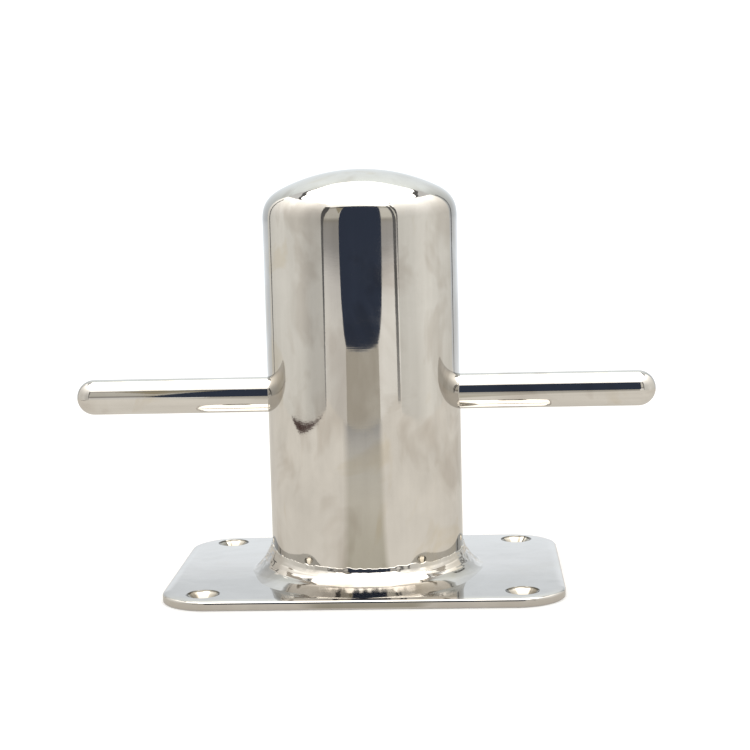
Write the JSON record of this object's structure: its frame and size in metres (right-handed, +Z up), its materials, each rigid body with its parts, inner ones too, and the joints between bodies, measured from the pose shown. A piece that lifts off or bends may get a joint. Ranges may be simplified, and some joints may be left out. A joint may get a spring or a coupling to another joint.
{
  "type": "cross bollard",
  "caption": "Deck bollard: upright round tube with dished cap on a rectangular screw-down plate, with one round cross bar through the tube as horns. Polished stainless steel.",
  "frame": {"origin": "underside of the deck plate, in its middle and under the post's axis", "axes": "+X along the cross bar, towards the right horn; +Z up the post's axis, away from the deck; +Y towards the back"},
  "size_m": [0.181, 0.088, 0.1275],
  "materials": {
    "polished_stainless": "mirror-polished stainless steel with faint buffing marks, not plated",
    "polished_weld": "stainless weld metal, buffed over its ripples"
  },
  "bodies": {
    "root": {"base_plate": "polished_stainless", "post_tube": "polished_stainless", "dome_cap": "polished_stainless", "cross_bar": "polished_stainless", "foot_weld": "polished_weld", "cap_seam_weld": "polished_weld", "bar_weld_left": "polished_weld", "bar_weld_right": "polished_weld"}
  },
  "joints": []
}
